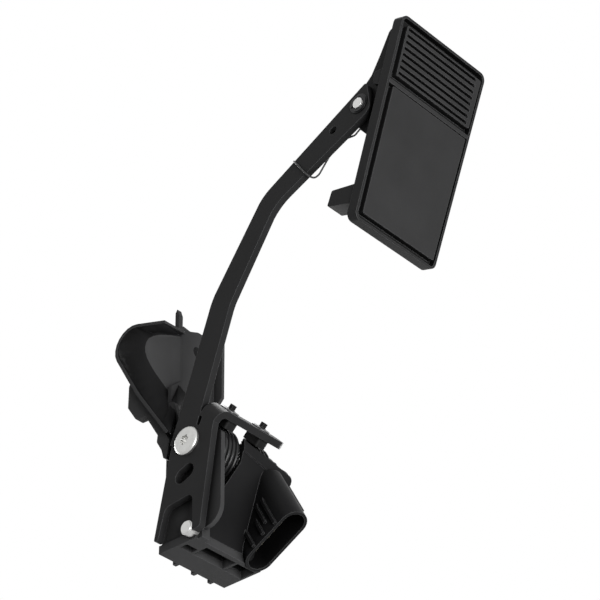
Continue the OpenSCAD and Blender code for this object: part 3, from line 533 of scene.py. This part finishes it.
# Lever: the arm, its web, its fork and the flange for the springs are one blank of 3.8 mm steel,
# stamped and folded, then dipped in black e-coat, which thins a little along the sheared edges.
# Its paler edge colour is partly that thinning and partly a painted highlight.
lever_coat = skin("lever_coat", (0.022, 0.022, 0.0225), edge_wear_and_highlight=(0.12, 0.12, 0.125), dull=0.40,
                  grain=0.0012, depth=0.00005, patch=0.02, edge=0.0005, spec=0.07)
pad_pivot = Vector(frame["joints"][1]["pos_m"])
arm_reach = pad_pivot - pivot
arm_reach.x = 0
bow_start, bow_end = 0.025, arm_reach.length    # from the pivot, towards the pad's pin
bow_depth = 0.0054
bow_way = Vector((0, 1, 1)).normalized()


def bowed(place):
    """Where a place on the straight-drawn arm lies on the real one, which bows up and back."""
    along = (place - pivot).dot(arm_reach.normalized())
    share = min(max((along - bow_start) / (bow_end - bow_start), 0), 1)
    return place + bow_way * bow_depth * math.sin(math.pi * share) ** 2


lever = dressed("pedal_arm", "lever", lever_coat, "lever_stamping")
for point in lever.data.vertices:
    point.co = bowed(point.co)


# Pivot: a turned shaft through both bushes, held to the lever by a bolt with a six-lobed recess,
# with a plastic thrust washer between the lever and the left bush.
shaft_metal = turned_metal("turned_shaft", (0.56, 0.56, 0.57), dull=0.32, centre=pivot)
dressed("pivot_shaft", "lever", shaft_metal, "shaft_turned")
bolt_metal = turned_metal("zinc_bolt", (0.60, 0.60, 0.585), dull=0.40, centre=pivot, ring=0.0005)
dressed("pivot_bolt", "lever", bolt_metal, "bolt_turned")
dressed("thrust_washer", "lever", bush_skin, "pivot_washer")

# The rotor carries the sensor's ring magnet on the shaft's square tip, inside the chamber.
dressed("sensor_rotor", "lever", bush_skin, "rotor_cup")
magnet_skin = skin("sintered_magnet", (0.09, 0.09, 0.092), edge_wear_and_highlight=(0.16, 0.16, 0.16), dull=0.5,
                   grain=0.0005, depth=0.00005)
dressed("rotor_magnet", "lever", magnet_skin, "ring_magnet")


# Spring shoes: two black plastic blocks under the flange that take the springs' top legs. Each is
# held by its stem, on which a push nut of spring steel is pressed from above.
shoe_skin = skin("shoe_skin", (0.014, 0.014, 0.014), edge_wear_and_highlight=(0.06, 0.06, 0.06), dull=0.5,
                 grain=0.0006, depth=0.00004, spec=0.12)
dressed("left_spring_shoe", "lever", shoe_skin, "left_shoe", edge=0.0003)
dressed("right_spring_shoe", "lever", shoe_skin, "right_shoe", edge=0.0003)
nut_metal = turned_metal("push_nut", (0.12, 0.12, 0.122), dull=0.34, centre=middle("left_shoe_retainer"))
dressed("left_shoe_retainer", "lever", nut_metal, "left_push_nut")
dressed("right_shoe_retainer", "lever", nut_metal, "right_push_nut")


# Return springs: two torsion springs wound from 2.4 mm spring wire round the axle. The top leg of
# each bears under its shoe, and the other rises along the bracket's back wall.
coil_radius = 0.0142
coil_pitch = 0.0028
wire = 0.0024
wire_sides = 16
flange_lean = math.radians(46.7)
spring_turns = 3
winding_steps = 110
top_leg = 0.0065
rear_leg = 0.024
spring_wire = skin("spring_wire", (0.018, 0.018, 0.0185), edge_wear_and_highlight=(0.09, 0.09, 0.09), dull=0.30,
                   grain=0.0004, depth=0.00002, patch=0.006, spec=0.28, reach=0.003)


def wound_spring(name, node):
    """A spring wound from its top leg, whose wire starts half a wire inside the left of its box."""
    start = math.pi / 2 + flange_lean
    sweep = 2 * math.pi * (spring_turns + 1) - start
    run = coil_pitch * sweep / (2 * math.pi)
    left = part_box(node)[0].x + wire / 2
    out = Vector((0, math.cos(start), math.sin(start)))
    along = Vector((0, -math.sin(start), math.cos(start)))
    centre = Vector((left, pivot.y, pivot.z)) + coil_radius * out
    section = Matrix.Translation(centre) @ Matrix((
        (1, 0, 0, 0), (0, out.y, along.y, 0), (0, out.z, along.z, 0), (0, 0, 0, 1)))
    mesh = bmesh.new()
    ring = bmesh.ops.create_circle(mesh, segments=wire_sides, radius=wire / 2, matrix=section)["verts"]
    ring_edges = list(mesh.edges)
    wound = bmesh.ops.spin(mesh, geom=ring + ring_edges, cent=pivot, axis=(1, 0, 0), angle=sweep,
                           steps=winding_steps, dvec=(run / winding_steps, 0, 0))
    last = [g for g in wound["geom_last"] if isinstance(g, bmesh.types.BMEdge)]
    for edges, reach in ((last, Vector((0, 0, rear_leg))), (ring_edges, -top_leg * along)):
        grown = bmesh.ops.extrude_edge_only(mesh, edges=edges)["geom"]
        tip = [g for g in grown if isinstance(g, bmesh.types.BMVert)]
        bmesh.ops.translate(mesh, verts=tip, vec=reach)
        cut = [e for e in grown if isinstance(e, bmesh.types.BMEdge) and e.is_boundary]
        bmesh.ops.holes_fill(mesh, edges=cut, sides=0)
    bmesh.ops.recalc_face_normals(mesh, faces=mesh.faces)
    spring = from_bmesh(name, mesh)
    spring.data.shade_smooth()
    spring.data.set_sharp_from_angle(angle=math.radians(40))
    spring.data.materials.append(spring_wire)
    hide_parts(node)
    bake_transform(spring)


wound_spring("left_return_spring", "short_return_spring")
wound_spring("right_return_spring", "long_return_spring")


# Pad carrier: a black plastic tray with a lug beside the arm, the boss of the pin, ribs behind and
# the foot that meets the arm when the pad has tilted as far as it goes.
carrier_skin = skin("carrier_skin", (0.024, 0.024, 0.0245), edge_wear_and_highlight=(0.11, 0.11, 0.112), dull=0.5,
                    grain=0.0007, depth=0.00005, spec=0.07)
dressed("pad_carrier", "pad", carrier_skin, "carrier_moulding")


# Tread: a moulded rubber mat, pressed into the carrier. It has a ribbed panel above a divider and a
# plain panel below, each set in a moat.
tread_skin = skin("tread_rubber", (0.038, 0.038, 0.0385), edge_wear_and_highlight=(0.10, 0.10, 0.102), dull=0.62,
                  grain=0.0009, depth=0.00008, edge=0.0009, spec=0.05)
tread = dressed("pad_tread", "pad", tread_skin, "tread_mat", edge=0.0004)

# Its moats and grooves are moulded deeper than the solid's, and the right ends of its panels and
# grooves lie nearer to the slanted right edge. Places are measured from the pad's pin.
pad_lean = math.radians(18)
pad_out = Vector((0, -math.cos(pad_lean), -math.sin(pad_lean)))
pad_up = Vector((0, pad_out.z, -pad_out.y))
moat_floor, moat_margin = 0.0154, 0.0003
moat_extra = 0.0016
right_edge, edge_slant = 0.06375, 0.0462
panel_low, panel_high = -0.0636, 0.0455
panel_end_near, panel_end_far = 0.002, 0.0078
panel_shift = 0.0021
for point in tread.data.vertices:
    place = point.co - pad_pivot
    height = place.dot(pad_up)
    from_right = right_edge + edge_slant * height - place.x
    if abs(place.dot(pad_out) - moat_floor) < moat_margin:
        point.co -= moat_extra * pad_out
    if panel_low < height < panel_high and panel_end_near < from_right < panel_end_far:
        point.co.x += panel_shift


# Pad pin: a turned pin in the carrier's boss on which the arm's tip turns, kept in place by a flat
# washer and a three-toothed clip in the groove of the pin. It is pressed in close to the arm.
standing_out = 0.5
pad_pin_metal = turned_metal("pad_pin_zinc", (0.66, 0.66, 0.65), dull=0.36, centre=pad_pivot)
clip_metal = turned_metal("clip_steel", (0.035, 0.035, 0.036), dull=0.34, centre=pad_pivot)
# Past the arm's outer face, each stands out by this share of what the solid does.
for fitted in (
        dressed("pad_pin", "pad", pad_pin_metal, "pad_pin_turned", edge=0.0003),
        dressed("pad_washer", "pad", clip_metal, "pad_pin_washer"),
        dressed("pad_retaining_clip", "pad", clip_metal, "pad_pin_clip")):
    for point in fitted.data.vertices:
        point.co.x = max(point.co.x, pivot.x + (point.co.x - pivot.x) * standing_out)


# Pad spring: a bent spring wire from the carrier's lug, along the arm's inner side, under its lower
# edge and back up over its outer face. It tips the pad away from the arm.
arm_thickness = 0.0038
arm_top_lean = math.radians(60.5)
thin_wire = 0.001
wire_gap = thin_wire / 2 + 0.0004
lug_x = arm_thickness + 0.0004
inner_x, outer_x = arm_thickness + wire_gap, -wire_gap
bend = 0.0009
straight_left = 0.48
bend_tension = 0.55
bright_wire = skin("bright_wire", (0.055, 0.055, 0.056), edge_wear_and_highlight=(0.10, 0.10, 0.10), dull=0.36,
                   grain=0.0004, depth=0.00002, patch=0.005, spec=0.22, reach=0.001)

# Each point of the wire's middle: to the right from the arm's outer face, then up along the arm and
# up across it from the pad's pin.
spring_path = [
    (lug_x + 0.0020, -0.0075, -0.0078), (lug_x + 0.0008, -0.0086, -0.0084),
    (lug_x + 0.0008, -0.0129, -0.0088), (inner_x + 0.0003, -0.0184, -0.0044),
    (inner_x, -0.0300, -0.0056), (inner_x, -0.0398, -0.0100),
    (inner_x - 0.0004, -0.0422, -0.0100), (arm_thickness - 0.0010, -0.0432, -0.0098),
    (outer_x, -0.0436, -0.0088), (outer_x, -0.0446, 0.0066),
    (0.0004, -0.0450, 0.0080), (arm_thickness - 0.0004, -0.0450, 0.0082),
    (inner_x, -0.0450, 0.0066), (inner_x, -0.0446, 0.0030)]
along_arm = Vector((0, -math.sin(arm_top_lean), math.cos(arm_top_lean)))
off_arm = Vector((0, math.cos(arm_top_lean), math.sin(arm_top_lean)))
spring_start = Vector((pivot.x, pad_pivot.y, pad_pivot.z))
spring_points = [bowed(spring_start + Vector((right, 0, 0)) + along * along_arm + up * off_arm)
                 for right, along, up in spring_path]

line = bpy.data.curves.new("pad_spring_line", "CURVE")
line.dimensions = "3D"
line.bevel_depth = thin_wire / 2
line.bevel_resolution = 4
line.resolution_u = 5
line.use_fill_caps = True
route = line.splines.new("BEZIER")
route.bezier_points.add(2 * len(spring_points) - 3)

# Every bend of the wire is a short curve between two knots, each kept with the corner it rounds.
knots = [(spring_points[0], spring_points[0])]
for before, corner, after in zip(spring_points, spring_points[1:], spring_points[2:]):
    reach = min(bend, (corner - before).length * straight_left, (after - corner).length * straight_left)
    knots.append((corner + (before - corner).normalized() * reach, corner))
    knots.append((corner + (after - corner).normalized() * reach, corner))
knots.append((spring_points[-1], spring_points[-1]))
for point, (place, _) in zip(route.bezier_points, knots):
    point.handle_left_type = point.handle_right_type = "FREE"
    point.co = point.handle_left = point.handle_right = place
for i in range(1, len(knots) - 1, 2):
    corner = knots[i][1]
    route.bezier_points[i].handle_right = knots[i][0].lerp(corner, bend_tension)
    route.bezier_points[i + 1].handle_left = knots[i + 1][0].lerp(corner, bend_tension)
drawn = into_scene("pad_spring_line", line)
bpy.context.view_layer.update()
wire_mesh = bpy.data.meshes.new_from_object(drawn.evaluated_get(bpy.context.evaluated_depsgraph_get()))
bpy.data.objects.remove(drawn)
pad_wire = into_scene("pad_spring_wire", wire_mesh)
pad_wire.data.shade_smooth()
pad_wire.data.materials.clear()
pad_wire.data.materials.append(bright_wire)
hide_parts("pad_spring")
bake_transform(pad_wire)
